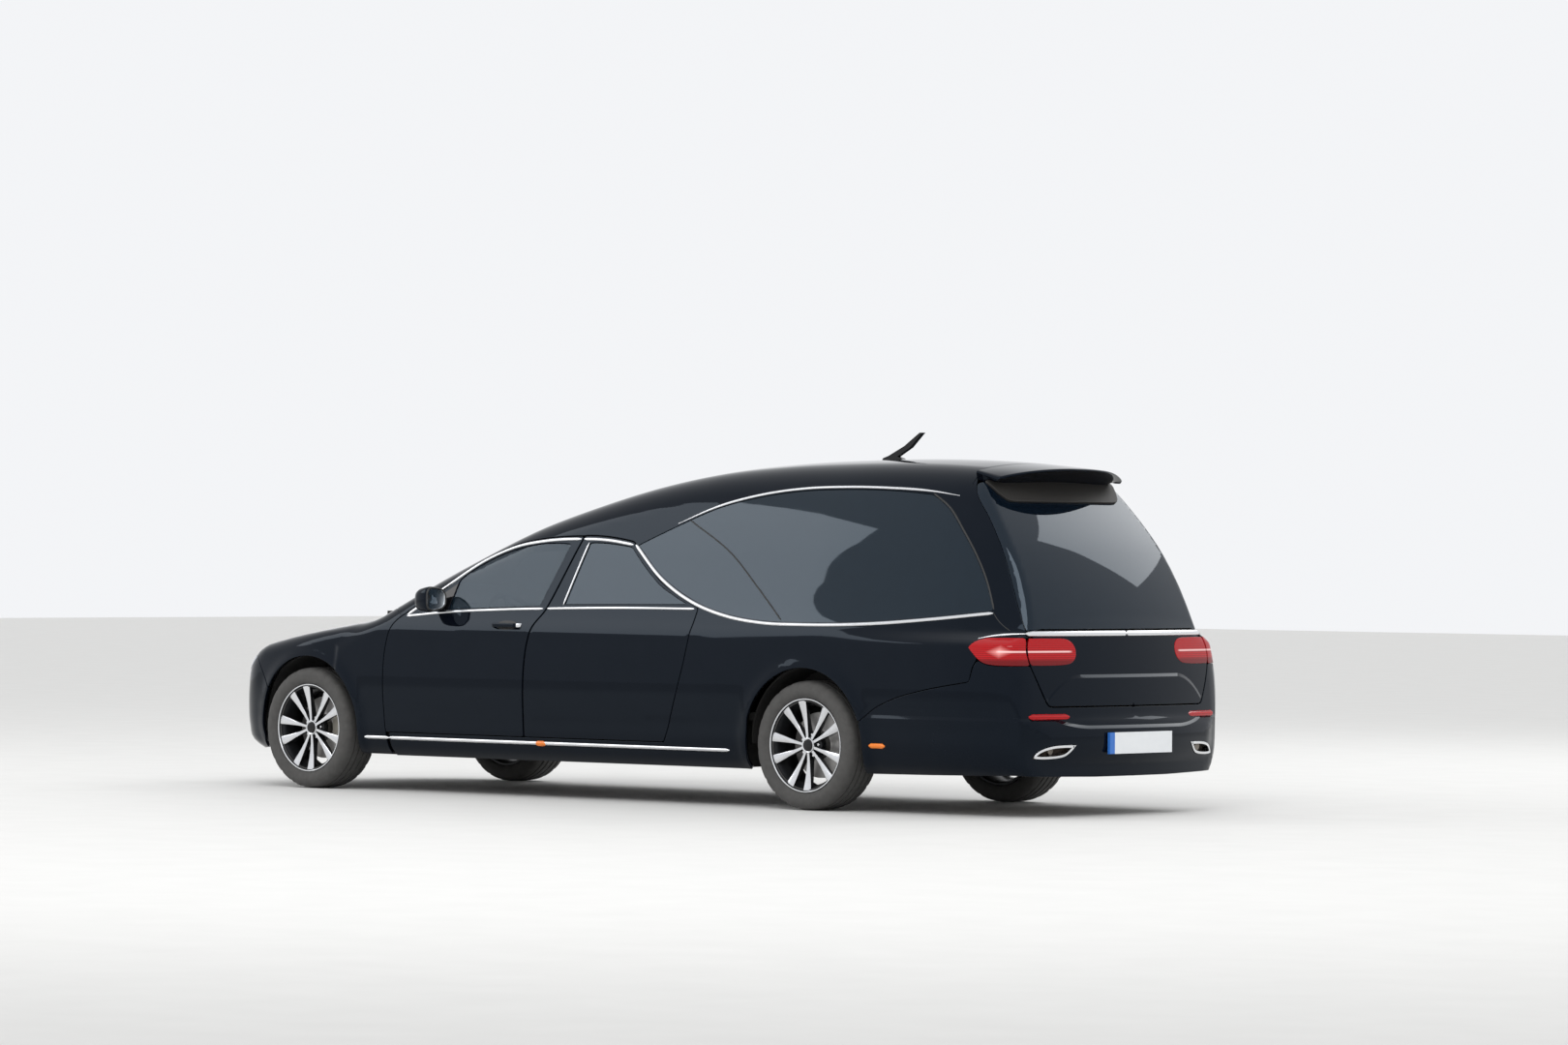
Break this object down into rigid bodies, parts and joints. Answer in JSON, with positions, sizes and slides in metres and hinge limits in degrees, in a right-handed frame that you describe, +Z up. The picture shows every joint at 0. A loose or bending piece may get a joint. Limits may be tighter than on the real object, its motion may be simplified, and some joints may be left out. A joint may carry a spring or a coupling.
{
  "type": "hearse",
  "caption": "Long estate-based hearse with a raised coachbuilt roof, lens-shaped load windows, hinged doors, bonnet and tailgate, steered and spinning wheels.",
  "frame": {"origin": "on the ground, at the middle of the overall length and width", "axes": "+X forward, +Y to the car's left, +Z up"},
  "size_m": [6.052, 2.064, 1.987],
  "materials": {
    "body_paint": "gloss",
    "underbody": "matte",
    "window_glass": "clear",
    "tinted_glass": "clear",
    "lamp_clear": "clear",
    "lamp_red": "gloss",
    "black_plastic": "matte",
    "gloss_black": "gloss",
    "alloy": "machined",
    "cast": "rough",
    "tyre": "matte",
    "steel": "satin",
    "chrome": "polished",
    "leather": "satin",
    "deck_wood": "lacquered",
    "plate_white": "gloss"
  },
  "bodies": {
    "body": {"front_wings": "body_paint", "front_bumper": "body_paint", "rear_bumper": "body_paint", "roof": "body_paint", "side_panels": "body_paint", "aerial": "gloss_black", "grille": "chrome", "headlamps": "lamp_clear", "tail_lamps": "lamp_red", "windscreen": "window_glass", "load_windows": "tinted_glass", "floor_pan": "underbody", "subframes": "underbody", "front_suspension": "cast", "rear_suspension": "cast", "engine": "cast", "fuel_tank": "black_plastic", "exhaust": "steel", "dashboard": "black_plastic", "seats": "leather", "partition": "black_plastic", "load_deck": "deck_wood", "plates": "plate_white"},
    "knuckle_left": {"knuckle_left": "cast"},
    "knuckle_right": {"knuckle_right": "cast"},
    "wheel_front_left": {"wheel_front_left": "alloy", "tyre_front_left": "tyre"},
    "door_front_left": {"door_front_left": "body_paint", "door_front_left_glass": "window_glass", "mirror_left": "body_paint"},
    "wheel_front_right": {"wheel_front_right": "alloy", "tyre_front_right": "tyre"},
    "door_front_right": {"door_front_right": "body_paint", "door_front_right_glass": "window_glass", "mirror_right": "body_paint"},
    "wheel_rear_left": {"wheel_rear_left": "alloy", "tyre_rear_left": "tyre"},
    "door_rear_left": {"door_rear_left": "body_paint", "door_rear_left_glass": "tinted_glass"},
    "wheel_rear_right": {"wheel_rear_right": "alloy", "tyre_rear_right": "tyre"},
    "door_rear_right": {"door_rear_right": "body_paint", "door_rear_right_glass": "tinted_glass"},
    "bonnet": {"bonnet": "body_paint"},
    "tailgate": {"tailgate": "body_paint", "gate_glass": "tinted_glass", "gate_lamps": "lamp_red", "spoiler": "body_paint"},
    "steering_wheel": {"steering_wheel": "leather"}
  },
  "joints": [
    {"name": "steer_left", "type": "hinge", "parent": "body", "child": "knuckle_left", "pos_m": [2.174, 0.735, 0.2], "axis": [0, -0.2064, 0.9785], "range_deg": [-35, 35]},
    {"name": "steer_right", "type": "hinge", "parent": "body", "child": "knuckle_right", "pos_m": [2.174, -0.735, 0.2], "axis": [0, 0.2064, 0.9785], "range_deg": [-35, 35]},
    {"name": "steering_wheel_turn", "type": "hinge", "parent": "body", "child": "steering_wheel", "pos_m": [1.084, 0.37, 0.93], "axis": [-0.8829, 0, 0.4695], "range_deg": [-490, 490]},
    {"name": "spin_front_left", "type": "hinge", "parent": "knuckle_left", "child": "wheel_front_left", "pos_m": [2.174, 0.802, 0.339], "axis": [0, 1, 0], "continuous": true},
    {"name": "spin_front_right", "type": "hinge", "parent": "knuckle_right", "child": "wheel_front_right", "pos_m": [2.174, -0.802, 0.339], "axis": [0, 1, 0], "continuous": true},
    {"name": "spin_rear_left", "type": "hinge", "parent": "body", "child": "wheel_rear_left", "pos_m": [-1.516, 0.802, 0.339], "axis": [0, 1, 0], "continuous": true},
    {"name": "spin_rear_right", "type": "hinge", "parent": "body", "child": "wheel_rear_right", "pos_m": [-1.516, -0.802, 0.339], "axis": [0, 1, 0], "continuous": true},
    {"name": "open_door_front_left", "type": "hinge", "parent": "body", "child": "door_front_left", "pos_m": [1.534, 0.921, 0.6], "axis": [0, 0, -1], "range_deg": [0, 65]},
    {"name": "open_door_front_right", "type": "hinge", "parent": "body", "child": "door_front_right", "pos_m": [1.534, -0.921, 0.6], "axis": [0, 0, 1], "range_deg": [0, 65]},
    {"name": "open_door_rear_left", "type": "hinge", "parent": "body", "child": "door_rear_left", "pos_m": [0.474, 0.921, 0.6], "axis": [0, 0, -1], "range_deg": [0, 70]},
    {"name": "open_door_rear_right", "type": "hinge", "parent": "body", "child": "door_rear_right", "pos_m": [0.474, -0.921, 0.6], "axis": [0, 0, 1], "range_deg": [0, 70]},
    {"name": "open_bonnet", "type": "hinge", "parent": "body", "child": "bonnet", "pos_m": [1.836, 0, 0.998], "axis": [0, -1, 0], "range_deg": [0, 50]},
    {"name": "open_tailgate", "type": "hinge", "parent": "body", "child": "tailgate", "pos_m": [-2.334, 0, 1.818], "axis": [0, 1, 0], "range_deg": [0, 80]}
  ],
  "couplings": [
    {"joint": "steer_right", "follows": "steer_left", "ratio": 1},
    {"joint": "steering_wheel_turn", "follows": "steer_left", "ratio": 14}
  ]
}
